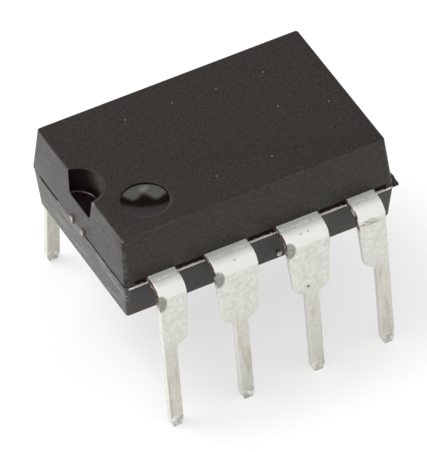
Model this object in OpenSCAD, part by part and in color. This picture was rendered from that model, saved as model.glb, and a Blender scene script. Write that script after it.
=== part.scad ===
// Eight lead dual in-line package, standing on its lead tips.
// Millimetres. X runs along the body from the notched end, Y across it, Z up from the lead tips.
// X = 0 and Y = 0 are the middle of the two rows of leads.

/* [Moulded body] */
// From the middle of an end lead to the end of the body
end_margin = 0.98; // [0.7:0.01:1.4]
// Width of the body at the parting plane
body_width = 6.42; // [5.6:0.01:7.2]
// Height of the upper half above the parting plane
upper_height = 1.8; // [1.4:0.01:2.4]
// Depth of the lower half below the parting plane
lower_height = 1.48; // [1:0.01:1.8]
// Draft of the two ends, in degrees
end_draft = 3.6; // [1:0.1:8]
// Draft of the two long sides, in degrees
side_draft = 8.5; // [3:0.1:12]
// Rounding of the upright corners
corner_radius = 0.1; // [0.05:0.01:0.4]
// Bevel along the edges of the top and of the underside
edge_break = 0.03; // [0.02:0.01:0.12]
// How far the moulding sits off the middle of the leads, along the body
mould_offset = -0.04; // [-0.1:0.01:0.1]
// How far the upper half is shifted over the lower half, along the body
half_mismatch = 0.03; // [0:0.01:0.08]

/* [Notch and dimple] */
// Radius of the end notch at the top face
notch_radius = 0.83; // [0.5:0.01:1.2]
// How far the middle of the notch lies past the end of the top face
notch_overhang = 0.12; // [0:0.01:0.3]
// How far the notch sits off the middle of that end
notch_offset = -0.06; // [-0.1:0.01:0.1]
// Depth of the end notch
notch_depth = 0.85; // [0.3:0.01:1.1]
// Draft of the notch wall, in degrees
notch_draft = 8; // [2:0.5:12]
// Diameter of the dimple beside lead 1
dimple_diameter = 1.54; // [0.8:0.02:2]
// From the notched end of the top face to the middle of the dimple
dimple_end_gap = 1.5; // [1.3:0.01:2.2]
// From the long edge of the top face to the middle of the dimple
dimple_side_gap = 1.33; // [1.1:0.01:1.6]
// Upright wall at the rim of the dimple
dimple_wall = 0.05; // [0.02:0.01:0.12]
// Hollow of the dish below that wall
dimple_sag = 0.07; // [0.03:0.01:0.15]

/* [Mould marks] */
// How far the resin between the leads lies behind the parting edge
dam_recess = 0.09; // [0.03:0.01:0.15]
// Resin left on the edge of each lead beside a recess
dam_fillet = 0.06; // [0.02:0.01:0.12]
// From the end of the body to the first recess
dam_end_gap = 0.3; // [0.2:0.01:0.4]
// How far the broken gate stands out of the plain end
gate_reach = 0.22; // [0.05:0.01:0.3]
// Thickness of the broken gate
gate_thickness = 0.1; // [0.05:0.01:0.2]
// Length of the broken gate along that end
gate_length = 1.6; // [0.8:0.1:2.4]
// Depth of the nick where the gate broke
gate_nick = 0.06; // [0:0.01:0.1]
// Diameter of the ejector marks in the underside
ejector_diameter = 1.5; // [0.8:0.1:2]
// Depth of the ejector marks
ejector_depth = 0.06; // [0.02:0.01:0.12]
// Distance between the two ejector marks
ejector_spacing = 5.6; // [4:0.1:6.4]

/* [Lead rows] */
// Distance from lead to lead along a row
lead_pitch = 2.54; // [2.5:0.01:2.9]
// Thickness of the lead frame sheet
metal_thickness = 0.25; // [0.2:0.01:0.3]
// Flat length of a lead from the body to its bend
bend_reach = 0.31; // [0.2:0.01:0.6]
// Inside radius of the bend
bend_radius = 0.25; // [0.1:0.01:0.4]
// Outward splay of the legs, in degrees
leg_splay = 5; // [0:0.5:8]
// Height of the lead frame above the lead tips
frame_height = 5.5; // [4.8:0.05:6.5]
// Width of a lead at the body
shoulder_width = 1.5; // [1.2:0.01:1.7]
// Width of a shoulder at its foot
shoulder_foot = 1.24; // [0.8:0.01:1.4]
// Depth of the shoulder below the lead frame
shoulder_drop = 2.06; // [1.7:0.01:2.4]
// Height of the slope from the shoulder's foot to the narrow leg
shoulder_slope = 0.25; // [0.1:0.01:0.5]
// Rounding of the shoulder's lower corners
shoulder_round = 0.1; // [0.05:0.01:0.2]
// Width of the narrow leg
leg_width = 0.46; // [0.38:0.01:0.56]
// Length of the tapered point
point_length = 0.28; // [0.1:0.01:0.6]
// Width at the end of the point
point_width = 0.26; // [0.15:0.01:0.34]
// Bevel of the two faces at the end of the point
point_bevel = 0.05; // [0.02:0.01:0.08]

/* [Fingers inside the resin] */
// How far the full width of a lead reaches into the resin
root_depth = 0.75; // [0.5:0.01:0.9]
// Diameter of the hole that locks a lead in the resin
lock_hole = 0.42; // [0.2:0.01:0.5]
// From the side of the body to the middle of that hole
lock_inset = 0.42; // [0.3:0.01:0.5]
// Gap between a finger and the die pad or a tie bar
finger_gap = 0.28; // [0.15:0.01:0.4]
// Width of a finger where the wire is bonded
finger_width = 0.5; // [0.3:0.01:0.6]
// Length of the straight end of a middle finger
finger_end = 0.42; // [0.3:0.01:0.6]

/* [Die pad, die and wires] */
// Length of the die pad
pad_length = 3.1; // [2.6:0.05:3.6]
// Width of the die pad
pad_width = 2.1; // [1.7:0.05:2.4]
// How far the die pad is set below the leads
pad_downset = 0.2; // [0:0.01:0.3]
// Length over which a tie bar steps down to the pad
tie_ramp = 0.4; // [0.2:0.01:0.6]
// Distance between the two prongs of a tie bar
tie_spacing = 0.72; // [0.5:0.01:0.9]
// Width of a prong
tie_width = 0.2; // [0.12:0.01:0.3]
// How far the tie bars sit off the middle of the body
tie_offset = 0.07; // [0:0.01:0.12]
// Length of the slot between the prongs
tie_slot = 0.7; // [0.4:0.01:1.2]
// How far the cut prongs stand out of the body
tie_stub = 0.03; // [0:0.01:0.06]
// Length of the silicon die
die_length = 1.7; // [1.2:0.05:2.2]
// Width of the silicon die
die_width = 1.3; // [1:0.05:1.6]
// Thickness of the silicon die
die_thickness = 0.3; // [0.2:0.01:0.4]
// Thickness of the adhesive under the die
attach_thickness = 0.03; // [0.02:0.01:0.06]
// How far the adhesive spreads past the die
attach_margin = 0.08; // [0.02:0.01:0.14]
// Diameter of the bond wire
wire_diameter = 0.03; // [0.02:0.002:0.05]
// Diameter of the ball bond on the die
ball_diameter = 0.08; // [0.06:0.005:0.12]
// Thickness of the ball bond
ball_height = 0.02; // [0.01:0.005:0.03]
// Height of the wire loop above the die
loop_height = 0.34; // [0.2:0.01:0.5]
// From the edge of the die to its bond pads
bond_inset = 0.13; // [0.08:0.01:0.2]

/* [Hidden] */
$fn = 48;

leads_in_row = 4;
last_lead = 2 * leads_in_row;
cut = 0.4;
slab = 0.01;

resin_color = [0.25, 0.235, 0.22];
tin_color = [0.82, 0.82, 0.79];
copper_color = [0.72, 0.45, 0.3];
adhesive_color = [0.7, 0.7, 0.68];
silicon_color = [0.35, 0.37, 0.42];
gold_color = [0.85, 0.68, 0.32];

body_length = (leads_in_row - 1) * lead_pitch + 2 * end_margin;
half_metal = metal_thickness / 2;
side_y = body_width / 2;
end_x = body_length / 2;
top_z = frame_height + upper_height;
bottom_z = frame_height - lower_height;
top_end_x = end_x - upper_height * tan(end_draft);
top_side_y = side_y - upper_height * tan(side_draft);
bottom_end_x = end_x - lower_height * tan(end_draft);
bottom_side_y = side_y - lower_height * tan(side_draft);
notch_floor_radius = notch_radius - notch_depth * tan(notch_draft);
dish_radius = (pow(dimple_diameter / 2, 2) + pow(dimple_sag, 2)) / (2 * dimple_sag);

bend_y = side_y + bend_reach;
bend_z = -half_metal - bend_radius;
bend_outside = bend_radius + metal_thickness;
leg_top_y = bend_y + bend_outside * cos(leg_splay);
leg_top_z = bend_z + bend_outside * sin(leg_splay);
leg_thickness = metal_thickness / cos(leg_splay);

tie_half = (tie_spacing + tie_width) / 2;
root_y = side_y - root_depth;
middle_tip_y = pad_width / 2 + finger_gap;
middle_tip_x = lead_pitch / 2 - shoulder_width / 4;
end_tip_x = pad_length / 2 + finger_gap;
end_tip_y = tie_half + tie_offset + finger_gap;
end_lead_x = (leads_in_row - 1) * lead_pitch / 2;

pad_top = -pad_downset + half_metal;
attach_top = pad_top + attach_thickness;
die_top = attach_top + die_thickness;
end_bond_y = die_width / 5;
middle_bond_x = die_length / 4;

function unit(v) = v / norm(v);

// Points of the arc of radius r that rounds the corner b of the path a, b, c
function rounded(a, b, c, r, steps = 6) =
    let (
        u = unit(a - b),
        v = unit(c - b),
        half = acos(u * v) / 2,
        middle = b + unit(u + v) * r / sin(half),
        first = b + u * r / tan(half) - middle,
        last = b + v * r / tan(half) - middle,
        start = atan2(first.y, first.x),
        sweep = atan2(first.x * last.y - first.y * last.x, first * last)
    )
    [for (i = [0 : steps]) middle + r * [cos(start + sweep * i / steps), sin(start + sweep * i / steps)]];

// A thin rounded plate whose half length, half width and height are given
module body_slab(half_x, half_y, z) {
    translate([0, 0, z])
        linear_extrude(slab)
            offset(r = corner_radius, $fn = 32)
                square([2 * (half_x - corner_radius), 2 * (half_y - corner_radius)], center = true);
}

// One moulded half, from the parting plane up
module moulded_half(height, far_x, far_y) {
    hull() {
        body_slab(end_x, side_y, 0);
        body_slab(far_x, far_y, height - edge_break - slab);
        body_slab(far_x - edge_break, far_y - edge_break, height - slab);
    }
}

module notch() {
    translate([-top_end_x - notch_overhang, notch_offset, top_z - notch_depth]) {
        cylinder(r1 = notch_floor_radius, r2 = notch_radius, h = notch_depth);
        translate([0, 0, notch_depth - slab]) cylinder(r = notch_radius, h = cut);
    }
}

module dimple() {
    translate([dimple_end_gap - top_end_x, dimple_side_gap - top_side_y, top_z - dimple_wall]) {
        cylinder(d = dimple_diameter, h = dimple_wall + cut);
        intersection() {
            translate([0, 0, dish_radius - dimple_sag]) sphere(r = dish_radius, $fn = 96);
            translate([0, 0, -dimple_sag - cut]) cylinder(d = dimple_diameter, h = dimple_sag + cut + slab);
        }
    }
}

module ejector_marks() {
    for (x = [-1, 1] * ejector_spacing / 2)
        translate([x, 0, bottom_z - cut]) cylinder(d = ejector_diameter, h = ejector_depth + cut);
}

// A recess with round inner corners, from x = a to x = b, where the dam bar was punched away
module dam_recess_between(a, b) {
    back = side_y - dam_recess;
    translate([0, 0, -half_metal])
        linear_extrude(metal_thickness) {
            translate([a, back + dam_fillet]) square([b - a, dam_recess + cut]);
            translate([a + dam_fillet, back]) square([b - a - 2 * dam_fillet, dam_recess + cut]);
            for (x = [a + dam_fillet, b - dam_fillet])
                translate([x, back + dam_fillet]) circle(r = dam_fillet);
        }
}

module dam_recesses() {
    wide = shoulder_width / 2 + dam_fillet;
    narrow = leg_width / 2 + dam_fillet;
    for (side = [0, 1])
        translate([0, 0, frame_height])
            mirror([0, side, 0]) {
                for (i = [0 : leads_in_row - 2])
                    dam_recess_between(i * lead_pitch - end_lead_x + wide, (i + 1) * lead_pitch - end_lead_x - wide);
                for (end = [0, 1])
                    mirror([end, 0, 0])
                        dam_recess_between(end_lead_x + narrow, end_x - dam_end_gap);
            }
}

// The broken gate of the lower half at the plain end, in the corner beside the last lead of the near row
module gate() {
    outer = cut + gate_reach;
    translate([end_x - cut, corner_radius - side_y, frame_height - half_metal - gate_thickness])
        linear_extrude(gate_thickness)
            polygon([
                [0, 0], [outer, 0], [outer, gate_length / 2 - gate_nick],
                [outer - gate_nick, gate_length / 2 + gate_nick],
                [outer - gate_nick / 2, gate_length - gate_reach],
                [cut, gate_length], [0, gate_length]
            ]);
}

module body() {
    color(resin_color)
        difference() {
            translate([mould_offset, 0, 0])
                difference() {
                    union() {
                        translate([0, 0, frame_height]) moulded_half(upper_height, top_end_x, top_side_y);
                        translate([half_mismatch, 0, 0]) {
                            translate([0, 0, frame_height])
                                mirror([0, 0, 1]) moulded_half(lower_height, bottom_end_x, bottom_side_y);
                            gate();
                        }
                    }
                    notch();
                    dimple();
                    ejector_marks();
                }
            dam_recesses();
            for (i = [1 : last_lead]) lead(i);
            die_pad();
            die_attach();
            silicon_die();
            for (i = [1 : last_lead]) bond_wire(i);
        }
}

// Side view of the bend and the leg, in the plane across the row, Z down from the lead frame
module leg_profile() {
    foot_z = -frame_height;
    foot_y = leg_top_y + (leg_top_z - foot_z) * tan(leg_splay);
    bevel_y = foot_y - 2 * point_bevel * tan(leg_splay);
    translate([side_y, -half_metal]) square([bend_reach, metal_thickness]);
    translate([bend_y, bend_z])
        intersection() {
            difference() {
                circle(r = bend_outside);
                circle(r = bend_radius);
            }
            polygon([
                [0, 0], [0, 2 * bend_outside], [2 * bend_outside, 2 * bend_outside],
                2 * bend_outside * [cos(leg_splay), sin(leg_splay)]
            ]);
        }
    polygon([
        [leg_top_y, leg_top_z],
        [bevel_y, foot_z + 2 * point_bevel],
        [foot_y - point_bevel, foot_z],
        [foot_y - leg_thickness + point_bevel, foot_z],
        [bevel_y - leg_thickness, foot_z + 2 * point_bevel],
        [bend_y + bend_radius * cos(leg_splay), bend_z + bend_radius * sin(leg_splay)]
    ]);
}

// One edge of a lead seen from the front, from the top down, at +x
function wide_edge() =
    let (
        top = [shoulder_width / 2, leg_top_z],
        foot = [shoulder_foot / 2, -shoulder_drop],
        waist = [leg_width / 2, -shoulder_drop - shoulder_slope]
    )
    concat(
        [[shoulder_width / 2, metal_thickness], top],
        rounded(top, foot, waist, shoulder_round),
        [waist],
        point_edge()
    );
function narrow_edge() = concat([[leg_width / 2, metal_thickness]], point_edge());
function point_edge() = [[leg_width / 2, point_length - frame_height], [point_width / 2, -frame_height]];
function flipped(points) = [for (i = [len(points) - 1 : -1 : 0]) [-points[i].x, points[i].y]];

module front_outline(is_end) {
    polygon(concat(wide_edge(), flipped(is_end ? narrow_edge() : wide_edge())));
}

// Plan of the flat finger, with +x towards the middle of the row and +y out of the body
module finger_plan(is_end) {
    half = shoulder_width / 2;
    if (is_end) {
        tip_near = end_lead_x - end_tip_x;
        tip_far = tip_near - finger_width;
        heel_y = root_y - finger_width / 4;
        polygon([
            [-leg_width / 2, bend_y], [-leg_width / 2, heel_y],
            [tip_far, end_tip_y], [tip_near, end_tip_y], [tip_near, end_tip_y + finger_width],
            [half, root_y], [half, bend_y]
        ]);
    } else {
        tip_x = lead_pitch / 2 - middle_tip_x;
        polygon([
            [-half, bend_y], [-half, root_y],
            [tip_x - finger_width / 2, middle_tip_y + finger_end], [tip_x - finger_width / 2, middle_tip_y],
            [tip_x + finger_width / 2, middle_tip_y], [tip_x + finger_width / 2, middle_tip_y + finger_end],
            [half, root_y], [half, bend_y]
        ]);
    }
}

// A whole stamped and bent lead, with its origin on the lead frame plane
module stamped_lead(is_end) {
    hole_x = is_end ? (shoulder_width - leg_width) / 4 : 0;
    difference() {
        translate([0, 0, -half_metal]) linear_extrude(metal_thickness) finger_plan(is_end);
        translate([hole_x, side_y - lock_inset, 0]) cylinder(d = lock_hole, h = 2 * cut, center = true);
    }
    intersection() {
        rotate([90, 0, 90])
            linear_extrude(2 * shoulder_width, center = true) leg_profile();
        rotate([90, 0, 0])
            translate([0, 0, -2 * body_width]) linear_extrude(2 * body_width) front_outline(is_end);
    }
}

// Leads 1 to 4 stand on the near side from the notched end, and 5 to 8 come back on the far side
function near_side(i) = i <= leads_in_row;
function column(i) = near_side(i) ? i - 1 : last_lead - i;
function is_end_lead(i) = column(i) == 0 || column(i) == leads_in_row - 1;
function lead_x(i) = column(i) * lead_pitch - end_lead_x;

module lead(i) {
    translate([lead_x(i), 0, frame_height])
        mirror([lead_x(i) > 0 ? 1 : 0, 0, 0])
            mirror([0, near_side(i) ? 1 : 0, 0])
                stamped_lead(is_end_lead(i));
}

// The pad and its two tie bars are one piece of the same sheet, stepped down under the die
module die_pad() {
    reach = end_x + tie_stub;
    ramp_in = pad_length / 2 + finger_gap / 2;
    ramp_out = ramp_in + tie_ramp;
    color(copper_color)
        translate([mould_offset, 0, frame_height])
            intersection() {
                rotate([90, 0, 0])
                    linear_extrude(2 * pad_width, center = true)
                        polygon([
                            [-reach, -half_metal], [-ramp_out, -half_metal], [-ramp_in, pad_top - metal_thickness],
                            [ramp_in, pad_top - metal_thickness], [ramp_out, -half_metal], [reach, -half_metal],
                            [reach, half_metal], [ramp_out, half_metal], [ramp_in, pad_top],
                            [-ramp_in, pad_top], [-ramp_out, half_metal], [-reach, half_metal]
                        ]);
                translate([0, 0, -frame_height / 2])
                    linear_extrude(frame_height)
                        difference() {
                            union() {
                                square([pad_length, pad_width], center = true);
                                translate([0, tie_offset]) square([2 * reach, 2 * tie_half], center = true);
                            }
                            for (x = [-reach, reach])
                                translate([x, tie_offset])
                                    square([2 * tie_slot, tie_spacing - tie_width], center = true);
                        }
            }
}

module die_attach() {
    color(adhesive_color)
        translate([0, 0, frame_height + pad_top])
            linear_extrude(attach_thickness)
                square([die_length, die_width] + 2 * attach_margin * [1, 1], center = true);
}

module silicon_die() {
    color(silicon_color)
        translate([0, 0, frame_height + attach_top])
            linear_extrude(die_thickness)
                square([die_length, die_width], center = true);
}

// Where wire i leaves the die, and where it lands on its finger
function die_bond(i) =
    let (
        to_x = lead_x(i) < 0 ? -1 : 1,
        to_y = near_side(i) ? -1 : 1
    )
    is_end_lead(i)
        ? [to_x * (die_length / 2 - bond_inset), to_y * end_bond_y]
        : [to_x * middle_bond_x, to_y * (die_width / 2 - bond_inset)];
function finger_bond(i) =
    let (
        to_x = lead_x(i) < 0 ? -1 : 1,
        to_y = near_side(i) ? -1 : 1
    )
    is_end_lead(i)
        ? [to_x * (end_tip_x + finger_width / 2), to_y * (end_tip_y + finger_width / 2)]
        : [to_x * middle_tip_x, to_y * (middle_tip_y + finger_width / 2)];

// A cubic curve through its first and last points, and its slope
function curve(p, t) = pow(1 - t, 3) * p[0] + 3 * t * pow(1 - t, 2) * p[1] + 3 * t * t * (1 - t) * p[2] + pow(t, 3) * p[3];
function curve_slope(p, t) =
    3 * pow(1 - t, 2) * (p[1] - p[0]) + 6 * t * (1 - t) * (p[2] - p[1]) + 3 * t * t * (p[3] - p[2]);

// A ball bond on the die, a loop in an upright plane, and a flat stitch on the finger
module bond_wire(i) {
    sides = 6;
    steps = 12;
    lean = 0.7;
    from = die_bond(i);
    to = finger_bond(i);
    along = unit(to - from);
    across = [-along.y, along.x];
    span = norm(to - from);
    // The curve rises three quarters of the way to its two middle points
    peak = die_top + loop_height * 4 / 3;
    path = [[0, die_top + 2 * ball_height], [0, peak], [lean * span, peak], [span, half_metal]];
    landing = unit(curve_slope(path, 1));
    // Each ring is its centre, its upright direction in the plane of the loop, and its two radii
    ball = ball_diameter / 2;
    thin = wire_diameter / 2;
    rings = concat(
        [
            [[0, die_top], [-1, 0], ball],
            [[0, die_top + ball_height], [-1, 0], ball]
        ],
        [for (k = [0 : steps - 1])
            let (slope = unit(curve_slope(path, k / steps)))
            [curve(path, k / steps), [-slope.y, slope.x], thin]],
        [[path[3], [-1 / landing.y, 0], thin]]
    );
    points = [for (ring = rings, s = [0 : sides - 1])
        let (
            turn = 360 * s / sides,
            offset_in = ring[2] * sin(turn) * ring[1],
            flat = from + along * (ring[0].x + offset_in.x) + across * ring[2] * cos(turn)
        )
        [flat.x, flat.y, frame_height + ring[0].y + offset_in.y]];
    last = len(rings) - 1;
    color(gold_color)
        polyhedron(
            points = points,
            faces = concat(
                [[for (s = [0 : sides - 1]) s]],
                [for (k = [0 : last - 1], s = [0 : sides - 1])
                    [k * sides + s, (k + 1) * sides + s, (k + 1) * sides + (s + 1) % sides, k * sides + (s + 1) % sides]],
                [[for (s = [sides - 1 : -1 : 0]) last * sides + s]]
            )
        );
}

body();
die_pad();
die_attach();
silicon_die();
for (i = [1 : last_lead]) {
    color(tin_color) lead(i);
    bond_wire(i);
}
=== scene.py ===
import math
import random

import bmesh
import bpy
from mathutils import Matrix, Quaternion, Vector


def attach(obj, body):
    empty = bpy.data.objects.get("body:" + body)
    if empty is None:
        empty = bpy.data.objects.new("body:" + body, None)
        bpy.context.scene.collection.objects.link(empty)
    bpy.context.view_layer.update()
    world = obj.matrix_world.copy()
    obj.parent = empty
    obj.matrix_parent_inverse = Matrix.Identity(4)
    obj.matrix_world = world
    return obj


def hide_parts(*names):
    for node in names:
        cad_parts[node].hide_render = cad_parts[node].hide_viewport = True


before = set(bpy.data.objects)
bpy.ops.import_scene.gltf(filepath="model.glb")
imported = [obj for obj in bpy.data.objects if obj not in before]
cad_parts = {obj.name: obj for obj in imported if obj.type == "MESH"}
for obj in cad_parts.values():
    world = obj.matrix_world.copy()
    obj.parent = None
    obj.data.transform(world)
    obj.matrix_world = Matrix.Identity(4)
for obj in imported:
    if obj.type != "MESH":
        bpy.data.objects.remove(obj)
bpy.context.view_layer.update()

# The die pad of the lead frame, with its two forked tie bars.
# Bare copper alloy sheet, stamped and stepped down under the die, with its tie bars cut at the ends of the moulding.
# The solid has the real shape, so it stays and gets its metal here: the cut ends are the only part that shows.


class Signal:
    """The output of a shader node, so that sums on it read as plain arithmetic."""

    def __init__(self, nodes, socket):
        self.nodes, self.socket = nodes, socket

    def maths(self, operation, *terms):
        return self.nodes.node("ShaderNodeMath", {"operation": operation}, dict(enumerate(terms)))

    def __add__(self, other):
        return self.maths("ADD", self, other)

    def __sub__(self, other):
        return self.maths("SUBTRACT", self, other)

    def __rsub__(self, other):
        return self.maths("SUBTRACT", other, self)

    def __mul__(self, other):
        return self.maths("MULTIPLY", self, other)

    def __truediv__(self, other):
        return self.maths("DIVIDE", self, other)

    def __pow__(self, other):
        return self.maths("POWER", self, other)

    def __abs__(self):
        return self.maths("ABSOLUTE", self)

    __radd__, __rmul__ = __add__, __mul__

    def output(self, name):
        """Another output of the same node."""
        return Signal(self.nodes, self.socket.node.outputs[name])

    def rise(self, low, high):
        """Smoothly from 0 at low to 1 at high, or down to it where low is the larger."""
        up = low < high
        ends = {"From Min": min(low, high), "From Max": max(low, high), "To Min": 1.0 - up, "To Max": float(up)}
        return self.nodes.node("ShaderNodeMapRange", {"interpolation_type": "SMOOTHSTEP"}, {"Value": self, **ends})


class Nodes:
    """A tree of shader nodes. Its node method adds one: its type, its settings, its sockets' values or links."""

    def __init__(self, tree):
        self.tree = tree
        tree.nodes.clear()

    def node(self, kind, settings=None, values=None, output=0):
        made = self.tree.nodes.new(kind)
        for name, value in (settings or {}).items():
            setattr(made, name, value)
        for name, value in (values or {}).items():
            if isinstance(value, Signal):
                self.tree.links.new(value.socket, made.inputs[name])
            else:
                made.inputs[name].default_value = value
        return Signal(self, made.outputs[output]) if made.outputs else made


class Finish(Nodes):
    """A material, with its place on the part in millimetres as mm, x, y and z."""

    def __init__(self, name):
        self.material = bpy.data.materials.new(name)
        self.material.use_nodes = True
        super().__init__(self.material.node_tree)
        place = self.node("ShaderNodeTexCoord", output="Object")
        self.mm = self.node("ShaderNodeVectorMath", {"operation": "SCALE"}, {0: place, "Scale": 1000.0})
        self.x = self.node("ShaderNodeSeparateXYZ", None, {0: self.mm})
        self.y, self.z = self.x.output("Y"), self.x.output("Z")

    def noise(self, per_mm, detail=3.0, rough=0.55, at=None):
        return self.node("ShaderNodeTexNoise", None, {
            "Vector": at or self.mm, "Scale": per_mm, "Detail": detail, "Roughness": rough})

    def stretched(self, x, y, z):
        """The place in millimetres, drawn out along an axis, for grain that runs one way."""
        return self.node("ShaderNodeVectorMath", {"operation": "MULTIPLY"}, {0: self.mm, 1: (x, y, z)})

    def near(self, centre, reach, soft=0.4):
        """1 inside an ellipsoid about a place, down to 0 over its soft outer share."""
        off = self.node("ShaderNodeVectorMath", {"operation": "SUBTRACT"}, {0: self.mm, 1: centre})
        scaled = self.node("ShaderNodeVectorMath", {"operation": "DIVIDE"}, {0: off, 1: reach})
        return self.node("ShaderNodeVectorMath", {"operation": "LENGTH"}, {0: scaled}, "Value").rise(1.0, 1.0 - soft)

    def blend(self, share, a, b):
        return self.node("ShaderNodeMix", {"data_type": "RGBA"}, {0: share, 6: a, 7: b}, 2)

    def relief(self, microns):
        """A normal from a height in thousandths of a millimetre."""
        return self.node("ShaderNodeBump", None, {"Height": microns, "Distance": 1e-6, "Strength": 1.0})

    def surface(self, **values):
        sockets = {name.replace("_", " "): value for name, value in values.items()}
        self.node("ShaderNodeOutputMaterial", None, {"Surface": self.node("ShaderNodeBsdfPrincipled", None, sockets)})
        return self.material


def tint(red, green, blue):
    """A colour as a picture shows it, from 0 to 255, in the shader's own scale."""
    return tuple((c / 12.92 if c <= 0.04045 else ((c + 0.055) / 1.055) ** 2.4)
                 for c in (red / 255, green / 255, blue / 255)) + (1.0,)


def refinish(node, material):
    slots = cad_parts[node].data.materials
    slots.clear()
    slots.append(material)


copper = Finish("bare_copper")
rolled = copper.noise(3.0, 4.0, at=copper.stretched(0.4, 6.0, 6.0))
smeared = copper.noise(9.0, 3.0)
cut_end = abs(copper.x).rise(4.72, 4.76)
copper_tone = copper.blend(rolled.rise(0.3, 0.7), tint(186, 122, 88), tint(214, 152, 112))
end_tone = copper.blend(smeared.rise(0.4, 0.62), tint(226, 212, 204), tint(184, 154, 138))
# Resin that the cutter smeared over the borders of the two prongs at each end, coloured a pale grey that is a painted
# sheen, as bright as the lit end face of the moulding
frame_level, tie_y, half_tie_spacing = 5.5, 0.07, 0.36
off_prong = abs(abs(copper.y - tie_y) - half_tie_spacing) + smeared * 0.03
off_frame = abs(copper.z - frame_level) + smeared * 0.05
resin_smear_painted_sheen = (off_prong.rise(0.06, 0.085) + off_frame.rise(0.1, 0.13)) * cut_end
bare_end = copper.blend(cut_end, copper_tone, end_tone)
# The pale grey over the prong borders is a painted sheen in place of the resin's own dark colour
copper_metal = copper.surface(
    Base_Color=copper.blend(resin_smear_painted_sheen, bare_end, tint(124, 120, 114)), Metallic=1.0 - cut_end * 0.5,
    Roughness=0.32 + smeared * 0.25, Normal=copper.relief(rolled * 3.0 + smeared * 4.0 * cut_end))
refinish("die_pad", copper_metal)

# The layer of adhesive, the silicon die and its eight gold wires.
# The die is cemented to the pad with silver-filled epoxy, and each wire is welded as a ball on the die and stitched to
# its finger. All of it is sealed in the resin, so the solids stay, with the finish of each material.
adhesive = Finish("silver_adhesive")
flakes = adhesive.node("ShaderNodeTexVoronoi", None, {"Vector": adhesive.mm, "Scale": 40.0}, "Color")
flake_level = adhesive.node("ShaderNodeSeparateColor", None, {0: flakes})
adhesive_layer = adhesive.surface(
    Base_Color=adhesive.blend(flake_level, tint(150, 150, 146), tint(205, 205, 200)),
    Metallic=0.5 + flake_level * 0.4, Roughness=0.35 + adhesive.noise(14.0) * 0.3,
    Normal=adhesive.relief(adhesive.noise(22.0, 4.0) * 5.0))
refinish("die_attach", adhesive_layer)

silicon = Finish("silicon")
blocks = silicon.node("ShaderNodeTexVoronoi", {"distance": "CHEBYCHEV"}, {
    "Vector": silicon.stretched(1.0, 1.0, 0.0), "Scale": 5.5}, "Color")
block_level = silicon.node("ShaderNodeSeparateColor", None, {0: blocks})
tracks = silicon.node("ShaderNodeTexWave", {"wave_type": "BANDS", "bands_direction": "X"}, {
    "Vector": silicon.mm, "Scale": 9.0, "Distortion": 0.0, "Detail": 0.0}, "Fac")
saw_mark = silicon.noise(6.0, 2.0, at=silicon.stretched(1.0, 1.0, 12.0))
# Only the polished top face, at 5.755 mm, has the circuit, and the sides keep the marks of the saw
patterned = silicon.z.rise(5.754, 5.758)
circuit = silicon.blend(block_level * 0.6 + tracks.rise(0.45, 0.6) * 0.4, tint(88, 82, 104), tint(132, 140, 130))
silicon_die = silicon.surface(
    Base_Color=silicon.blend(patterned, tint(86, 88, 94), circuit), Metallic=0.7,
    Roughness=0.22 + (1.0 - patterned) * saw_mark * 0.4, Normal=silicon.relief(saw_mark * (1.0 - patterned) * 4.0))
refinish("silicon_die", silicon_die)

gold = Finish("gold_wire")
drawn = gold.noise(30.0, 2.0, at=gold.stretched(1.0, 1.0, 0.3))
gold_metal = gold.surface(
    Base_Color=gold.blend(drawn, tint(214, 170, 84), tint(242, 206, 122)), Metallic=1.0,
    Roughness=0.16 + drawn * 0.12, Normal=gold.relief(drawn * 0.6))
for wire in range(1, 9):
    refinish(f"bond_wire_{wire}", gold_metal)

# The eight leads, stamped from copper alloy sheet 0.25 mm thick, plated with matt tin after moulding and bent down.
# The punch rolls the edges on the outer face and leaves a torn band on the sides, which the bend shows as bare copper.
# Each is the flat sheet first, then given its thickness, its rolled edges, its bevelled point and its uneven plating.
lead_pitch, metal = 2.54, 0.25
end_lead_x = 1.5 * lead_pitch
shoulder_width, leg_width, point_width = 1.5, 0.46, 0.29
# The side of the body, the root of the finger and its heel inside it, and the start of the bend outside it
side_y, root_y, heel_y, bend_y = 3.21, 2.46, 2.335, 3.52
bend_middle, splay = 0.375, math.radians(5)
# The finger of an end lead turns at an elbow on the way to its tip, and that of a middle lead runs straight on
heel_width, elbow_width, finger_width = 1.114, 1.061, 0.5
elbow_x, end_tip_x, middle_tip_x = 0.919, 1.48, 0.5625
to_elbow, to_end_tip = (1.149, -1.025, 0), (0.561, -0.5, 0)
to_neck, to_middle_tip = (0, -0.71, 0), (0, -0.42, 0)
# The hole through the root, filled with resin, that locks the lead
lock_radius, lock_inset, end_lock_x = 0.21, 0.42, 0.26
# Height under the frame and half width of the shoulder, from the bend down to the narrow leg
shoulder_steps = [(-0.62, 0.728), (-0.95, 0.703), (-1.28, 0.679), (-1.6, 0.655), (-1.86, 0.635), (-2.01, 0.624),
                  (-2.04, 0.617), (-2.067, 0.601), (-2.087, 0.578), (-2.2, 0.4), (-2.31, 0.245), (-2.36, 0.23)]
point_level, leg_step = -5.25, 0.289
# What the punch leaves: the bevel of the point, the rolled edge outside and the burr inside
point_bevel, rolled_edge, burr = 0.05, 0.03, 0.014
outer_face, inner_face, rim_face = 0, 1, 2


def alone(*pieces):
    """Only these pieces selected, the first of them active."""
    bpy.ops.object.select_all(action="DESELECT")
    for piece in reversed(pieces):
        piece.select_set(True)
        bpy.context.view_layer.objects.active = piece


def settle(piece):
    """Put a piece's place, turn and size into its mesh."""
    alone(piece)
    bpy.ops.object.transform_apply(location=True, rotation=True, scale=True)
    return piece


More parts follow.
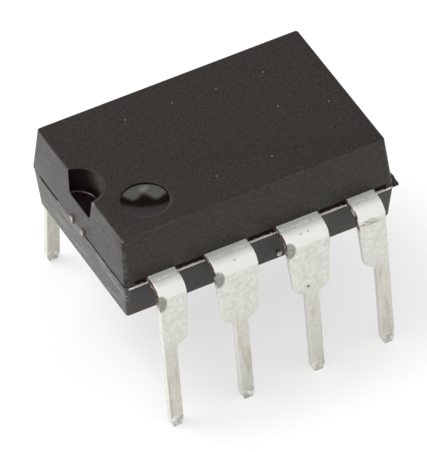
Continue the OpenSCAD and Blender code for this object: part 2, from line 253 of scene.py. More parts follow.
def pick(kind, wanted):
    """Select, in edit mode, the corners, edges or faces that the test wants."""
    bpy.ops.mesh.select_mode(type=kind)
    bpy.ops.mesh.select_all(action="DESELECT")
    shape = bmesh.from_edit_mesh(bpy.context.object.data)
    parts = {"VERT": shape.verts, "EDGE": shape.edges, "FACE": shape.faces}[kind]
    for part in [part for part in parts if wanted(part)]:
        part.select_set(True)
    shape.select_flush_mode()
    bmesh.update_edit_mesh(bpy.context.object.data)


# The places of two axes in a corner's coordinates
Y, Z = 1, 2


def between(low, high, axis):
    """The test for a corner, an edge or a face that lies between two levels along an axis."""
    def test(part):
        corners = [part] if isinstance(part, bmesh.types.BMVert) else part.verts
        return all(low <= corner.co[axis] <= high for corner in corners)
    return test


def draw_out(move, width=None, about=0.0):
    """Extrude what is selected, then widen or narrow it along X."""
    bpy.ops.mesh.extrude_region_move(TRANSFORM_OT_translate={"value": move})
    if width:
        bpy.ops.transform.resize(value=(width, 1, 1), center_override=(about, 0, 0))


def work(piece, kind, **settings):
    """Add a modifier and apply it."""
    alone(piece)
    modifier = piece.modifiers.new(kind.lower(), kind)
    for name, value in settings.items():
        setattr(modifier, name, value)
    bpy.ops.object.modifier_apply(modifier=modifier.name)


def carve(piece, cutter, operation="DIFFERENCE"):
    """Cut a piece by another, or join the two, and use the other up."""
    work(piece, "BOOLEAN", operation=operation, solver="EXACT", object=cutter)
    bpy.data.objects.remove(cutter)


def nodule(centre, reach, turn=(0, 0, 0), detail=2):
    """A faceted ball drawn out along the axes, which makes a blob or cuts a dent."""
    bpy.ops.object.select_all(action="DESELECT")
    bpy.ops.mesh.primitive_ico_sphere_add(subdivisions=detail, radius=1, location=centre)
    bpy.context.object.scale = reach
    bpy.context.object.rotation_euler = [math.radians(angle) for angle in turn]
    return settle(bpy.context.object)


def lead_sheet(is_end):
    """The middle surface of a lead as a flat sheet with its bend, its shoulder and its leg, +Y out of the body."""
    left = -leg_width / 2 if is_end else -shoulder_width / 2
    right = shoulder_width / 2
    about = left if is_end else 0.0
    bpy.ops.object.select_all(action="DESELECT")
    bpy.ops.mesh.primitive_plane_add(size=1, location=((left + right) / 2, (root_y + bend_y) / 2, 0))
    sheet = bpy.context.object
    sheet.scale = (right - left, bend_y - root_y, 1)
    settle(sheet)
    bpy.ops.object.mode_set(mode="EDIT")
    # Root, then the finger that takes the wire
    pick("EDGE", between(root_y - 0.01, root_y + 0.01, Y))
    if is_end:
        draw_out((0, heel_y - root_y, 0), heel_width / (right - left), left)
        draw_out(to_elbow, elbow_width / heel_width, elbow_x)
        draw_out(to_end_tip, finger_width / elbow_width, end_tip_x)
    else:
        draw_out(to_neck, finger_width / shoulder_width, middle_tip_x)
        draw_out(to_middle_tip)
    # Flat stretch and bend
    pick("EDGE", between(bend_y - 0.01, bend_y + 0.01, Y))
    bpy.ops.mesh.spin(steps=14, angle=math.pi / 2 - splay, center=(0, bend_y, -bend_middle), axis=(1, 0, 0))
    # Shoulder
    level = -bend_middle + bend_middle * math.sin(splay)
    width = right - left
    for to_level, half in shoulder_steps:
        new_width = half - left if is_end else 2 * half
        draw_out((0, (level - to_level) * math.tan(splay), to_level - level), new_width / width, about)
        level, width = to_level, new_width
    # Narrow leg and point
    while level > point_level + 0.001:
        draw_out((0, leg_step * math.tan(splay), -leg_step))
        level -= leg_step
    draw_out((0, (level + frame_level) * math.tan(splay), -(level + frame_level)), point_width / leg_width)
    # Columns along the lead, to carry its bevels and dents
    pick("EDGE", lambda edge: abs(edge.verts[0].co.z - edge.verts[1].co.z) < 1e-4
         and abs(edge.verts[0].co.y - edge.verts[1].co.y) < 1e-4)
    bpy.ops.mesh.subdivide(number_cuts=4)
    bpy.ops.mesh.select_all(action="SELECT")
    bpy.ops.mesh.normals_make_consistent(inside=False)
    bpy.ops.object.mode_set(mode="OBJECT")
    if sheet.data.polygons[0].normal.z < 0:
        sheet.data.flip_normals()
    return sheet


def thickened_lead(sheet, hole_x):
    """The sheet at its real thickness, with its lock hole and the edges that the punch leaves."""
    for _ in (outer_face, inner_face, rim_face):
        sheet.data.materials.append(None)
    work(sheet, "SOLIDIFY", thickness=metal, offset=0, use_even_offset=True,
         material_offset=inner_face, material_offset_rim=rim_face)
    alone(sheet)
    bpy.ops.object.mode_set(mode="EDIT")
    shape = bmesh.from_edit_mesh(sheet.data)
    foot = min(corner.co.z for corner in shape.verts)

    def rim_with(face_kind):
        """The test for an edge between the rim and one of the two faces of the sheet."""
        return lambda edge: sorted(face.material_index for face in edge.link_faces) == [face_kind, rim_face]

    pick("EDGE", lambda edge: all(corner.co.z < foot + 0.02 for corner in edge.verts)
         and (rim_with(outer_face)(edge) or rim_with(inner_face)(edge)))
    bpy.ops.mesh.bevel(offset=point_bevel, segments=2, affect="EDGES")
    for face_kind, width, steps in ((outer_face, rolled_edge, 3), (inner_face, burr, 2)):
        pick("EDGE", rim_with(face_kind))
        bpy.ops.mesh.bevel(offset=width, segments=steps, affect="EDGES", clamp_overlap=True)
    bpy.ops.mesh.select_all(action="SELECT")
    bpy.ops.mesh.remove_doubles(threshold=0.0005)
    bpy.ops.mesh.normals_make_consistent(inside=False)
    bpy.ops.object.mode_set(mode="OBJECT")
    work(sheet, "SUBSURF", subdivision_type="SIMPLE", levels=1, render_levels=1)
    bpy.ops.object.select_all(action="DESELECT")
    bpy.ops.mesh.primitive_cylinder_add(
        vertices=32, radius=lock_radius, depth=0.8, location=(hole_x, side_y - lock_inset, 0))
    carve(sheet, settle(bpy.context.object))
    return sheet


plating = bpy.data.textures.new("tin_unevenness", "CLOUDS")
plating.noise_scale, plating.noise_depth = 0.4, 3

# Where the dam bar was cut off the left side of leads 1 to 3, then the pits in the tin: the lead, the place, the reach
dam_marks = [(-4.0, -4.03, 5.08), (-1.95, -4.02, 5.16), (0.585, -4.02, 5.2)]
tin_pits = [(3, (1.136, -4.15, 3.556), (0.06, 0.05, 0.055)), (3, (1.113, -3.794, 5.543), (0.035, 0.04, 0.035)),
            (3, (1.368, -3.787, 5.548), (0.045, 0.04, 0.04)), (2, (-1.247, -3.794, 5.543), (0.05, 0.04, 0.04)),
            (4, (3.24, -4.02, 5.115), (0.07, 0.04, 0.022)), (4, (3.387, -4.017, 5.175), (0.08, 0.04, 0.025)),
            (4, (3.62, -4.025, 5.07), (0.16, 0.03, 0.018)), (4, (3.5, -4.01, 5.26), (0.1, 0.03, 0.02))]
# Small dark stains on the legs, with no depth
tin_stains = [((-0.78, -4.08, 4.2), (0.05, 0.02, 0.04)), ((-3.55, -4.1, 4.0), (0.05, 0.02, 0.06)),
              ((1.3, -4.26, 2.1), (0.04, 0.02, 0.06)), ((3.85, -4.3, 1.5), (0.05, 0.02, 0.05))]

tin = Finish("matt_tin")
cloud = tin.noise(1.6, 5.0, 0.6)
mottle = tin.noise(6.0, 4.0, 0.6)
crystals = tin.noise(22.0, 3.0, 0.7)
streaked = tin.noise(1.3, 4.0, 0.6, at=tin.stretched(3.2, 1.0, 0.55))
stained = streaked.rise(0.48, 0.68) * tin.z.rise(3.6, 2.9)
dam_mark = 0.0
for place in dam_marks:
    dam_mark = tin.near(place, (0.25, 0.2, 0.36), 0.25) + dam_mark
dam_mark = dam_mark * mottle.rise(0.3, 0.42)
spotted = 0.0
for place, reach in [pit[1:] for pit in tin_pits] + tin_stains:
    spotted = tin.near(place, [1.25 * part for part in reach]) + spotted
# The tin is greyed and torn by the body, smoothed and whitened on the bend, where bending burnishes it and a painted
# highlight brightens it, and duller down the narrow leg
by_the_body = (abs(tin.y) + mottle * 0.5 + cloud * 0.2).rise(3.83, 3.79) * tin.z.rise(5.35, 5.45)
burnish_and_highlight = (abs(tin.y) + cloud * 0.1).rise(3.44, 3.52) * tin.z.rise(5.16, 5.3)
leg_tone = tin.z.rise(4.0, 2.8)
pale_tin = tin.blend((mottle * 0.6 + crystals * 0.4).rise(0.4, 0.6), tint(204, 204, 196), tint(220, 221, 214))
# The whiter tin on the bend is partly burnishing and partly a painted highlight
burnished_highlit_tin = tin.blend(burnish_and_highlight, pale_tin, tint(231, 231, 226))
leg_tin = tin.blend(leg_tone * 0.5, burnished_highlit_tin, tint(200, 198, 188))
worn_tin = tin.blend(stained * 0.6, leg_tin, tint(182, 170, 154))
greyed_tin = tin.blend(by_the_body * (crystals.rise(0.3, 0.6) * 0.3 + 0.65), worn_tin, tint(222, 226, 219))
torn_border = by_the_body * (1.0 - by_the_body) * 4.0 * crystals.rise(0.35, 0.55)
torn_tin = tin.blend(torn_border * 0.8, greyed_tin, tint(138, 140, 134))
# Lead 4 is rumpled below its bend, and the cut tips show bright and dark flecks
rumpled = tin.near((3.42, -4.02, 5.14), (0.42, 0.2, 0.15)) * mottle.rise(0.46, 0.54)
bruised_tin = tin.blend(rumpled * 0.6, torn_tin, tint(158, 158, 150))
cut_tip = tin.z.rise(0.5, 0.32)
flecked_tin = tin.blend(cut_tip * mottle.rise(0.52, 0.57) * 0.6, bruised_tin, tint(242, 242, 238))
nicked_tin = tin.blend(cut_tip * mottle.rise(0.45, 0.4) * 0.45, flecked_tin, tint(150, 146, 134))
marked_tin = tin.blend(dam_mark * 0.85, nicked_tin, tint(122, 125, 116))
tin_metal = tin.surface(
    Base_Color=tin.blend(spotted * 0.45, marked_tin, tint(104, 106, 98)),
    Metallic=0.85 - dam_mark * 0.3 - burnish_and_highlight * 0.45 - by_the_body * 0.5,
    Roughness=0.42 + cloud * 0.1 - burnish_and_highlight * 0.08,
    Normal=tin.relief((mottle * 8.0 + crystals * 2.5) * (1.0 - burnish_and_highlight * 0.6) + by_the_body * (6.0 + crystals * 9.0)))

edge = Finish("sheared_edge")
torn = edge.noise(12.0, 4.0, 0.65)
uncoated = edge.z.rise(4.7, 5.1) * edge.noise(4.0, 4.0, 0.6).rise(0.38, 0.48)
edge_tone = edge.blend(torn.rise(0.35, 0.65), tint(222, 221, 214), tint(240, 239, 233))
copper_edge = edge.blend(torn.rise(0.46, 0.64), tint(52, 35, 26), tint(168, 132, 108))
edge_metal = edge.surface(
    Base_Color=edge.blend(uncoated, edge_tone, copper_edge),
    Metallic=0.6 - uncoated * 0.2, Roughness=0.4 + torn * 0.2, Normal=edge.relief(torn * 16.0))


def fit_in_frame(piece, name, slot, *nodes):
    """Bring a finished piece from millimetres into the frame, and say what it is."""
    piece.name = piece.data.name = name
    piece.scale = (0.001, 0.001, 0.001)
    settle(piece)
    bpy.ops.object.shade_smooth_by_angle(angle=math.radians(35))
    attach(piece, "root")
    if nodes:
        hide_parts(*nodes)


blanks = {is_end: thickened_lead(lead_sheet(is_end), end_lock_x if is_end else 0.0) for is_end in (False, True)}
for number in range(1, 9):
    near_side = number <= 4
    column = number - 1 if near_side else 8 - number
    x = column * lead_pitch - end_lead_x
    blank = blanks[column in (0, 3)]
    lead = blank.copy()
    lead.data = blank.data.copy()
    bpy.context.scene.collection.objects.link(lead)
    lead.scale = (1 if x < 0 else -1, -1 if near_side else 1, 1)
    lead.location = (x, 0, frame_level)
    settle(lead)
    bpy.ops.object.mode_set(mode="EDIT")
    bpy.ops.mesh.select_all(action="SELECT")
    bpy.ops.mesh.normals_make_consistent(inside=False)
    bpy.ops.object.mode_set(mode="OBJECT")
    work(lead, "DISPLACE", texture=plating, texture_coords="GLOBAL", strength=0.014, mid_level=0.5)
    if number <= 3:
        carve(lead, nodule(dam_marks[number - 1], (0.23, 0.05, 0.34), (-5, 0, 0), 3))
    for owner, place, reach in tin_pits:
        if owner == number:
            carve(lead, nodule(place, reach))
    for slot, metal_finish in enumerate((tin_metal, tin_metal, edge_metal)):
        lead.data.materials[slot] = metal_finish
    fit_in_frame(lead, f"tinned_lead_{number}", "tinned_lead", f"lead_{number}")
for blank in blanks.values():
    bpy.data.objects.remove(blank)

# A splash of tin, left on the side of the moulding beside lead 3 when the leads were plated.
# It is a small frozen drop that stands a little proud of the resin, made as a ball pressed against it.
splash = nodule((0.7, -3.05, 4.27), (0.09, 0.07, 0.095), (0, 0, 20), 3)
splash.data.materials.append(tin_metal)
fit_in_frame(splash, "tin_splash", "tinned_lead")

# The moulding, one shot of black silica-filled epoxy around the lead frame, in a mould of two halves.
# It keeps what the mould gives it: the draft, the end notch, the polished dimple, the ejector marks, the parting line,
# the ragged ledges where the dam bar was punched away, the broken gate at the plain end, and small pits and chips.
body_offset, half_mismatch = -0.04, 0.03
end_x, top_z, under_z = 4.79, 7.3, 4.02
top_end_x, top_side_y = 4.6768, 2.941
under_end_x, under_side_y = 4.6969, 2.9888
notch_x, notch_y, notch_depth = body_offset - top_end_x - 0.12, -0.06, 0.85
notch_radius, notch_floor_radius, notch_fillet = 0.83, 0.7105, 0.14
dimple_x, dimple_y, dimple_radius = -3.2168, -1.611, 0.77
dimple_wall, dimple_sag = 0.08, 0.07
ejector_x, ejector_radius, ejector_depth = 2.8, 0.75, 0.06
corner_bevel, edge_bevel, parting_bevel = 0.1, 0.03, 0.03
dam_recess, dam_fillet = 0.09, 0.06
ledge_z, recess_top = frame_level - metal / 2, frame_level + metal / 2


def block(low, high):
    """A block between two corners."""
    low, high = Vector(low), Vector(high)
    bpy.ops.object.select_all(action="DESELECT")
    bpy.ops.mesh.primitive_cube_add(size=1, location=(low + high) / 2)
    bpy.context.object.scale = high - low
    return settle(bpy.context.object)


def moulded_half(far_z, far_x, far_y, shift):
    """One half of the moulding, with its draft, its round corners and its broken edges."""
    low, high = sorted((frame_level, far_z))
    half = block((-end_x, -side_y, low), (end_x, side_y, high))
    bpy.ops.object.mode_set(mode="EDIT")
    pick("FACE", between(far_z - 0.01, far_z + 0.01, Z))
    bpy.ops.transform.resize(value=(far_x / end_x, far_y / side_y, 1), center_override=(0, 0, far_z))
    pick("EDGE", lambda e: abs(e.verts[0].co.z - e.verts[1].co.z) > 1)
    bpy.ops.mesh.bevel(offset=corner_bevel, segments=5, affect="EDGES")
    pick("EDGE", between(far_z - 0.001, far_z + 0.001, Z))
    bpy.ops.mesh.bevel(offset=edge_bevel, segments=3, affect="EDGES")
    pick("EDGE", between(frame_level - 0.001, frame_level + 0.001, Z))
    bpy.ops.mesh.bevel(offset=parting_bevel, segments=1, affect="EDGES")
    bpy.ops.object.mode_set(mode="OBJECT")
    half.location.x = shift
    return settle(half)


def lathe(profile, x, y, steps=64):
    """A closed round cutter from a profile of radius and height."""
    bpy.ops.object.select_all(action="DESELECT")
    bpy.ops.mesh.primitive_plane_add(size=1)
    turned = bpy.context.object
    bpy.ops.object.mode_set(mode="EDIT")
    bpy.ops.mesh.merge(type="CENTER")
    bpy.ops.transform.translate(value=(profile[0][0], 0, profile[0][1]))
    for (r0, z0), (r1, z1) in zip(profile, profile[1:]):
        bpy.ops.mesh.extrude_region_move(TRANSFORM_OT_translate={"value": (r1 - r0, 0, z1 - z0)})
    bpy.ops.mesh.select_all(action="SELECT")
    bpy.ops.mesh.spin(steps=steps, angle=2 * math.pi, center=(0, 0, 0), axis=(0, 0, 1))
    bpy.ops.mesh.select_all(action="SELECT")
    bpy.ops.mesh.remove_doubles(threshold=0.0005)
    bpy.ops.mesh.normals_make_consistent(inside=False)
    bpy.ops.object.mode_set(mode="OBJECT")
    turned.location = (x, y, 0)
    return settle(turned)


moulding = moulded_half(top_z, top_end_x, top_side_y, body_offset)
carve(moulding, moulded_half(under_z, under_end_x, under_side_y, body_offset + half_mismatch), "UNION")

# Gate, 0.1 mm thick and 1.6 mm long, broken off unevenly in the near corner of the plain end
gate = block((end_x - 0.41, 0.1 - side_y, ledge_z - 0.1), (end_x + 0.2, 1.7 - side_y, ledge_z - 0.001))
bpy.ops.object.mode_set(mode="EDIT")
bpy.ops.mesh.select_all(action="SELECT")
bpy.ops.mesh.subdivide(number_cuts=7)
pick("VERT", lambda v: v.co.x > end_x + 0.15 and v.co.y > -2.9)
bpy.ops.transform.vertex_random(offset=0.05, uniform=0.0, normal=0.0, seed=4)
pick("VERT", lambda v: v.co.x > end_x + 0.02 and v.co.y > -2.05)
bpy.ops.transform.resize(value=(0.96, 1, 1), center_override=(end_x - 0.4, 0, 0))
bpy.ops.object.mode_set(mode="OBJECT")
carve(moulding, gate, "UNION")

# Notch, with the round inner corner where its drafted wall meets its floor
notch_floor = top_z - notch_depth
notch_profile = [(0, notch_floor)]
for step in range(7):
    turn = math.radians(13.5 * step)
    notch_profile.append((notch_floor_radius + 0.018 - notch_fillet * (1 - math.sin(turn)),
                          notch_floor + notch_fillet * (1 - math.cos(turn))))
notch_profile += [(notch_radius - 0.003, top_z - 0.025), (notch_radius + 0.008, top_z - 0.008),
                  (notch_radius + 0.025, top_z), (notch_radius + 0.025, top_z + 0.4), (0, top_z + 0.4)]
carve(moulding, lathe(notch_profile, notch_x, notch_y))

# Dimple, a polished dish under a short upright wall with a softly rounded rim
dish_radius = (dimple_radius ** 2 + dimple_sag ** 2) / (2 * dimple_sag)
dish = []
for step in range(13):
    r = dimple_radius * step / 12
    dish.append((r, top_z - dimple_wall - dimple_sag + dish_radius - math.sqrt(dish_radius ** 2 - r ** 2)))
rim = [(dimple_radius + 0.004, top_z - 0.03), (dimple_radius + 0.014, top_z - 0.012),
       (dimple_radius + 0.03, top_z - 0.003), (dimple_radius + 0.05, top_z), (dimple_radius + 0.05, top_z + 0.4),
       (0, top_z + 0.4)]
carve(moulding, lathe(dish + rim, dimple_x, dimple_y, 96))

# Ejector marks in the underside
for x in (-ejector_x, ejector_x):
    carve(moulding, lathe([(0, under_z - 0.4), (ejector_radius + 0.01, under_z - 0.4), (ejector_radius + 0.01, under_z),
                           (ejector_radius, under_z + 0.01), (ejector_radius - 0.01, under_z + ejector_depth),
                           (0, under_z + ejector_depth)], x + body_offset, 0))

# Ledges between the leads, where the dam bar was punched out with the resin that filled the gap
wide, narrow = shoulder_width / 2 + dam_fillet, leg_width / 2 + dam_fillet
gaps = [(column * lead_pitch - end_lead_x + wide, (column + 1) * lead_pitch - end_lead_x - wide) for column in range(3)]
gaps += [(end_lead_x + narrow, end_x - 0.3), (0.3 - end_x, -end_lead_x - narrow)]
for side in (-1, 1):
    for a, b in gaps:
        back, front = side * (side_y - dam_recess), side * (side_y + 0.3)
        gap = block((a, min(back, front), ledge_z), (b, max(back, front), recess_top))
        bpy.ops.object.mode_set(mode="EDIT")
        pick("EDGE", lambda e: abs(e.verts[0].co.z - e.verts[1].co.z) > 0.1 and abs(e.verts[0].co.y - back) < 0.01)
        bpy.ops.mesh.bevel(offset=dam_fillet, segments=4, affect="EDGES")
        pick("EDGE", lambda e: abs(e.verts[0].co.x - e.verts[1].co.x) > 0.05)
        bpy.ops.mesh.subdivide(number_cuts=6)
        pick("VERT", lambda v: v.co.z < ledge_z + 0.01 and a + 0.09 < v.co.x < b - 0.09)
        bpy.ops.transform.vertex_random(offset=0.015, uniform=0.0, normal=0.0, seed=3)
        bpy.ops.object.mode_set(mode="OBJECT")
        carve(moulding, gap)

# Parting line of the notched end, where the flash crumbled away in three stretches
for y_from, y_to, cuts, drop in ((1.5, 2.75, 16, 0.16), (0.6, 1.5, 12, 0.08), (-3.1, -0.42, 40, 0.135)):
    crumbled = block((-end_x - 0.2, y_from, frame_level - drop), (0.06 - end_x, y_to, frame_level + 0.012))
    bpy.ops.object.mode_set(mode="EDIT")
    pick("EDGE", lambda e: abs(e.verts[0].co.y - e.verts[1].co.y) > 0.5)
    bpy.ops.mesh.subdivide(number_cuts=cuts)
    pick("VERT", lambda v: v.co.z < frame_level)
    bpy.ops.transform.vertex_random(offset=0.05, uniform=0.0, normal=0.0, seed=cuts)
    bpy.ops.object.mode_set(mode="OBJECT")
    carve(moulding, crumbled)

# Chips at the near rim of the notch, at the near corner, along the end edge and along the parting line
chips = [((-4.74, -0.9, 7.32), (0.09, 0.08, 0.07)), ((-4.74, -1.08, 7.32), (0.05, 0.09, 0.05)),
         ((-4.75, -2.93, 7.3), (0.09, 0.08, 0.09)), ((-4.79, -3.03, 6.95), (0.06, 0.06, 0.16)),
         ((-4.73, 1.9, 7.32), (0.05, 0.1, 0.04)), ((-4.72, -2.1, 7.32), (0.045, 0.12, 0.04)),
         ((-4.82, 2.5, 5.43), (0.06, 0.14, 0.07)), ((-4.82, 2.05, 5.44), (0.06, 0.2, 0.08)),
         ((-4.82, 1.7, 5.42), (0.06, 0.1, 0.06)), ((-4.82, -0.75, 5.43), (0.05, 0.12, 0.05)),
         ((-4.82, -1.9, 5.43), (0.05, 0.16, 0.055)), ((-4.82, -2.7, 5.43), (0.05, 0.2, 0.05))]
for turn, (centre, reach) in enumerate(chips):
    carve(moulding, nodule(centre, reach, (25 * turn, 20, 40 * turn), 1))
# Pits of trapped air in the top, those that the photograph shows and finer ones between them
chance = random.Random(8)
pits = [(4.016, 0.278, 0.045), (3.576, -1.634, 0.05), (3.51, 0.915, 0.03), (4.268, 0.644, 0.03), (3.823, -1.243, 0.03),
        (1.299, -0.126, 0.028)]
pits += [(chance.uniform(-2.1, 4.3), chance.uniform(-2.7, 2.7), chance.uniform(0.012, 0.024)) for _ in range(34)]
holes = [nodule((x, y, top_z - radius * 0.1), (radius, radius, radius), detail=1) for x, y, radius in pits]
alone(*holes)
bpy.ops.object.join()
carve(moulding, holes[0])

# Where the chips laid paler resin bare, with their reach, and the specks of dust on the top
chipped_places = [((-4.76, -0.97, 7.26), (0.08, 0.15, 0.12)), ((-4.76, -2.96, 7.25), (0.11, 0.1, 0.16)),
                  ((-4.81, -3.05, 6.95), (0.06, 0.06, 0.18))]
specks = [(-2.098, 1.914), (-0.438, 1.876), (1.08, 1.762), (2.752, 1.723), (2.419, 0.089), (3.934, -0.506),
          (-0.781, -1.794), (1.166, -1.85), (-3.26, -1.78)]


def resin_skin(name, shine):
    """The skin of the moulding, as bright or as dull as that face of the mould left it."""
    resin = Finish(name)
    grain = resin.noise(8.5, 6.0, 0.74) * 0.6 + resin.noise(17.0, 3.0, 0.6) * 0.4
    patches = resin.noise(1.1, 4.0, 0.6)
    # The polished dish and the polished corner at the floor of the notch
    out_of_dimple = ((resin.x - dimple_x) ** 2 + (resin.y - dimple_y) ** 2) ** 0.5
    in_dish = out_of_dimple.rise(dimple_radius + 0.01, dimple_radius - 0.005) * resin.z.rise(top_z - 0.3, top_z - 0.2)
    out_of_notch = ((resin.x - notch_x) ** 2 + (resin.y - notch_y) ** 2) ** 0.5
    in_notch = out_of_notch.rise(notch_radius + 0.004, notch_radius - 0.012) \
        * resin.z.rise(notch_floor - 0.05, notch_floor - 0.01)
    polished = in_dish + in_notch * 0.8
    # Pale torn resin on the ledges, brightened further by a painted highlight, and the edges of the top and the near
    # rims of its two hollows, paler from a little wear and from a painted highlight
    recess_y = side_y - dam_recess
    in_recess = abs(resin.y).rise(recess_y - 0.02, recess_y + 0.01) * abs(resin.x).rise(end_x - 0.07, end_x - 0.13)
    torn_and_lit_ledge = abs(resin.z - ledge_z).rise(0.045, 0.03) * in_recess
    by_the_top = resin.z.rise(top_z - 0.06, top_z - 0.03)
    top_edge_line_x, top_edge_line_y = top_end_x - 0.0118, top_side_y - 0.011
    long_edges = abs(abs(resin.y) - top_edge_line_y).rise(0.03, 0.01)
    end_edges = abs(abs(resin.x - body_offset) - top_edge_line_x).rise(0.03, 0.01)
    top_edge_wear_and_highlight = (long_edges + end_edges) * by_the_top * (resin.noise(3.0, 3.0, 0.6).rise(0.35, 0.65) + 0.2)
    dimple_rim = abs(out_of_dimple - dimple_radius - 0.05).rise(0.055, 0.01) * (dimple_y - resin.y).rise(-0.1, 0.5)
    notch_rim = abs(out_of_notch - notch_radius - 0.06).rise(0.06, 0.01) * (notch_y - resin.y).rise(-0.8, 0.2)
    near_rim_wear_and_highlight = (dimple_rim + notch_rim) * by_the_top * patches.rise(0.25, 0.55)
    # Pale smearing on the notched end, most of it on its lower half; it is partly real and partly a painted sheen
    end_face = resin.x.rise(0.19 - end_x, 0.09 - end_x)
    streaks = resin.noise(2.6, 6.0, 0.7, at=resin.stretched(1.0, 0.32, 1.7))
    lower_half = resin.z.rise(frame_level + 0.02, frame_level - 0.04)
    smears_and_sheen = (streaks.rise(0.46, 0.66) * lower_half + streaks.rise(0.44, 0.7) * 0.4) * end_face
    chipped, dust = 0.0, 0.0
    for place, reach in chipped_places:
        chipped = resin.near(place, reach) + chipped
    for x, y in specks:
        dust = resin.near((x, y, top_z - 0.05), (0.04, 0.03, 0.12)) + dust
    dark = resin.blend(grain.rise(0.43, 0.59), tint(7, 2, 2), tint(42, 30, 24))
    on_top = resin.z.rise(top_z - 0.1, top_z - 0.02)
    plain = resin.blend(polished, dark, tint(21, 12, 10))
    # The pale smearing on the end is part real, part painted sheen
    smeared_and_sheened_resin = resin.blend(smears_and_sheen * 0.5, plain, tint(126, 124, 117))
    # Chips lay pale resin bare; the top edges and near rims are lighter from wear and from a painted highlight
    paler = chipped * 0.6 + top_edge_wear_and_highlight * 0.08 + near_rim_wear_and_highlight * 0.1
    chipped_and_highlit_resin = resin.blend(paler, smeared_and_sheened_resin, tint(134, 134, 127))
    # The bright ledge line is pale torn resin with a painted highlight on it
    ledge_resin = resin.blend(torn_and_lit_ledge * grain.rise(0.25, 0.42), chipped_and_highlit_resin, tint(234, 230, 221))
    unpolished = (1.0 - in_dish * 0.96) * (1.0 - in_notch)
    return resin.surface(
        Base_Color=resin.blend(dust * 0.5, ledge_resin, tint(170, 176, 160)),
        Roughness=0.22 + on_top * 0.13 * (1.0 - polished) + patches * 0.06 - polished * 0.17 + smears_and_sheen * 0.06,
        Specular_IOR_Level=shine, Specular_Tint=tint(250, 255, 245),
        Normal=resin.relief((grain * 30.0 + patches * 5.0) * unpolished + smears_and_sheen * 5.0))


# The rough resin where the dam bar was punched out and the flash broke off
broken = Finish("broken_resin")
torn_resin = broken.noise(14.0, 5.0, 0.7)
broken_surface = broken.surface(
    Base_Color=broken.blend(torn_resin.rise(0.4, 0.75), tint(10, 3, 2), tint(66, 40, 28)), Specular_IOR_Level=0.12,
    Roughness=0.8 + torn_resin * 0.15, Normal=broken.relief(torn_resin * 30.0))

# The wall and the floor of the notch, with the marks of the pin that was drawn out of it
drawn_wall = Finish("notch_resin")
drag_marks = drawn_wall.noise(1.0, 5.0, 0.65, at=drawn_wall.stretched(11.0, 11.0, 0.7))
# A painted highlight makes the wall paler on its inner and near side, most of all towards the rim, streaked with the
# drag marks; elsewhere the wall is near black, a painted shade in the hollow
inner_near = (drawn_wall.x - notch_x) * 0.8 - (drawn_wall.y - notch_y) * 0.6
up_the_wall = drawn_wall.z.rise(notch_floor + 0.05, top_z - 0.2)
painted_wall_highlight = inner_near.rise(0.1, 0.75) * up_the_wall * (drag_marks.rise(0.3, 0.7) * 0.5 + 0.5)
notch_base = drawn_wall.z.rise(notch_floor + 0.02, notch_floor + 0.005)
# Near black painted shade in the hollow, with the painted highlight on the inner near side of the wall
wall_painted_shade_and_highlight = drawn_wall.blend(painted_wall_highlight, tint(7, 2, 1), tint(78, 71, 64))
notch_surface = drawn_wall.surface(
    Base_Color=drawn_wall.blend(notch_base * drag_marks.rise(0.35, 0.6), wall_painted_shade_and_highlight, tint(20, 8, 6)),
    Specular_IOR_Level=0.06, Roughness=0.3 + drag_marks * 0.2, Normal=drawn_wall.relief(drag_marks * 9.0))


def is_broken(face):
    """A wall of a recess of the dam bar, or of the crumbled parting line."""
    middle = face.calc_center_median()
    in_recess = between(ledge_z - 0.03, recess_top + 0.03, Z)(face) and face.normal.z < 0.5
    in_groove = between(frame_level - 0.2, frame_level + 0.06, Z)(face) and face.calc_area() < 0.03
    return (in_recess and side_y - dam_recess - 0.03 < abs(middle.y) < side_y - 0.012) \
        or (in_groove and end_x - 0.09 < abs(middle.x) < end_x + 0.03)


def is_in_notch(face):
    """A face of the notch, but for the polished corner around its floor."""
    middle = face.calc_center_median()
    return notch_floor - 0.01 < middle.z < top_z - 0.01 and not notch_floor + 0.012 < middle.z < notch_floor + 0.035 \
        and (middle.xy - Vector((notch_x, notch_y))).length < notch_radius + 0.005


def is_top(face):
    return face.normal.z > 0.9 and face.calc_center_median().z > top_z - 0.01


moulding.data.materials.clear()
side_skin, top_skin = resin_skin("moulding_resin", 0.42), resin_skin("matt_top_resin", 0.3)
for resin_finish in (side_skin, broken_surface, notch_surface, top_skin):
    moulding.data.materials.append(resin_finish)
alone(moulding)
bpy.ops.object.mode_set(mode="EDIT")
for slot, wanted in enumerate((is_broken, is_in_notch, is_top), 1):
    pick("FACE", wanted)
    moulding.active_material_index = slot
    bpy.ops.object.material_slot_assign()
bpy.ops.object.mode_set(mode="OBJECT")
fit_in_frame(moulding, "moulding", "moulding_resin", "body")

# The studio: a white table in a white room, with a dark opening behind the part that holds two soft boxes.
# The dish of the dimple mirrors those two. A third soft box stands high at the left.
scene = bpy.context.scene
scene.view_settings.view_transform = "Standard"
bpy.ops.object.select_all(action="DESELECT")
bpy.ops.mesh.primitive_plane_add(size=1.2, location=(0, 0, 0))
floor = bpy.context.object
floor.name = "floor"
table = Finish("white_table")
ray = table.node("ShaderNodeLightPath", output="Is Camera Ray")
seen = ray * 0.55 + (ray.output("Is Glossy Ray") + ray.output("Is Transmission Ray")) * 0.3
matt = table.node("ShaderNodeBsdfDiffuse", None, {"Color": (0.97, 0.97, 0.97, 1)})
glow = table.node("ShaderNodeEmission", None, {"Strength": 1.0})
table.node("ShaderNodeOutputMaterial", None, {
    "Surface": table.node("ShaderNodeMixShader", None, {0: seen, 1: matt, 2: glow})})
floor.data.materials.append(table.material)

world = bpy.data.worlds.new("white_room")
scene.world = world
world.use_nodes = True
room = Nodes(world.node_tree)
towards = room.node("ShaderNodeTexCoord", output="Generated")
height = room.node("ShaderNodeSeparateXYZ", None, {0: towards}, "Z")
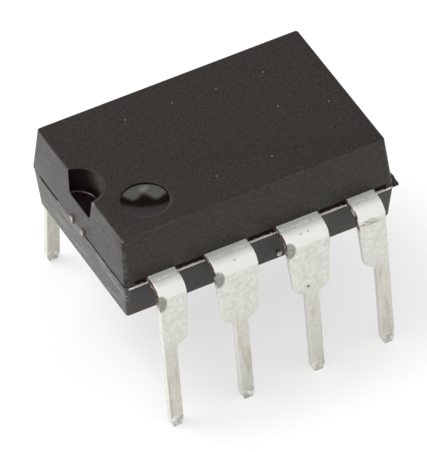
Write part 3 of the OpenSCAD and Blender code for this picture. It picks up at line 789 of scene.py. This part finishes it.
# How nearly a direction points to what stands behind the part, and height is the sine of its elevation
back_x, back_y = 0.4419, 0.8971
behind = room.node("ShaderNodeVectorMath", {"operation": "DOT_PRODUCT"}, {
    0: towards, 1: (back_x, back_y, 0.0)}, "Value") / (1.0 - height ** 2.0) ** 0.5
far_side = behind.rise(0.2, 0.5)
opening = far_side * height.rise(0.585, 0.64) * height.rise(0.94, 0.9)
walls = room.node("ShaderNodeMix", {"data_type": "RGBA"}, {
    0: far_side * (0.3 + height.rise(0.8, 0.95) * 0.7), 6: (0.95, 0.95, 0.95, 1), 7: (0.05, 0.05, 0.05, 1)}, 2)
shade = room.node("ShaderNodeMix", {"data_type": "RGBA"}, {0: opening, 6: walls, 7: (0.03, 0.03, 0.03, 1)}, 2)
sky = room.node("ShaderNodeBackground", None, {"Color": shade})
backdrop = room.node("ShaderNodeBackground", None, {"Color": (1, 1, 1, 1)})
camera_ray = room.node("ShaderNodeLightPath", output="Is Camera Ray")
room.node("ShaderNodeOutputWorld", None, {
    "Surface": room.node("ShaderNodeMixShader", None, {0: camera_ray, 1: sky, 2: backdrop})})


def soft_box(name, azimuth, elevation, distance, width, height, radiance, roll=0):
    """An area light that faces the part. Azimuth 0 stands behind it as the camera sees it, and 90 at its right."""
    away = math.atan2(back_y, back_x) - math.radians(azimuth)
    lift = math.radians(elevation)
    place = Vector((math.cos(away) * math.cos(lift), math.sin(away) * math.cos(lift), math.sin(lift))) * distance
    light = bpy.data.lights.new(name, "AREA")
    light.shape, light.size, light.size_y = "RECTANGLE", width, height
    light.energy = radiance * math.pi * width * height
    box = bpy.data.objects.new(name, light)
    bpy.context.scene.collection.objects.link(box)
    box.location = place
    box.rotation_euler = ((-place).to_track_quat("-Z", "Y") @ Quaternion((0, 0, 1), math.radians(roll))).to_euler()


soft_box("soft_box_left", -15, 58, 0.4, 0.112, 0.118, 2.25, 30)
soft_box("soft_box_right", 15, 58, 0.4, 0.112, 0.132, 2.25, -18)
soft_box("soft_side", -75, 62, 0.4, 0.22, 0.22, 5.4)

camera_data = bpy.data.cameras.new("camera")
camera = bpy.data.objects.new("camera", camera_data)
bpy.context.scene.collection.objects.link(camera)
scene.camera = camera
# The camera of the photograph: where it stands in metres, and its right, its up and its back
stands = Vector((-0.0841224, -0.1706246, 0.1859435))
axes = Matrix(((0.88382, -0.46690, -0.02946), (0.34247, 0.60280, 0.72066), (-0.31872, -0.64702, 0.69266)))
camera.matrix_world = Matrix.Translation(stands) @ axes.transposed().to_4x4()
camera_data.lens = 658.07
camera_data.clip_start, camera_data.clip_end = 0.01, 10
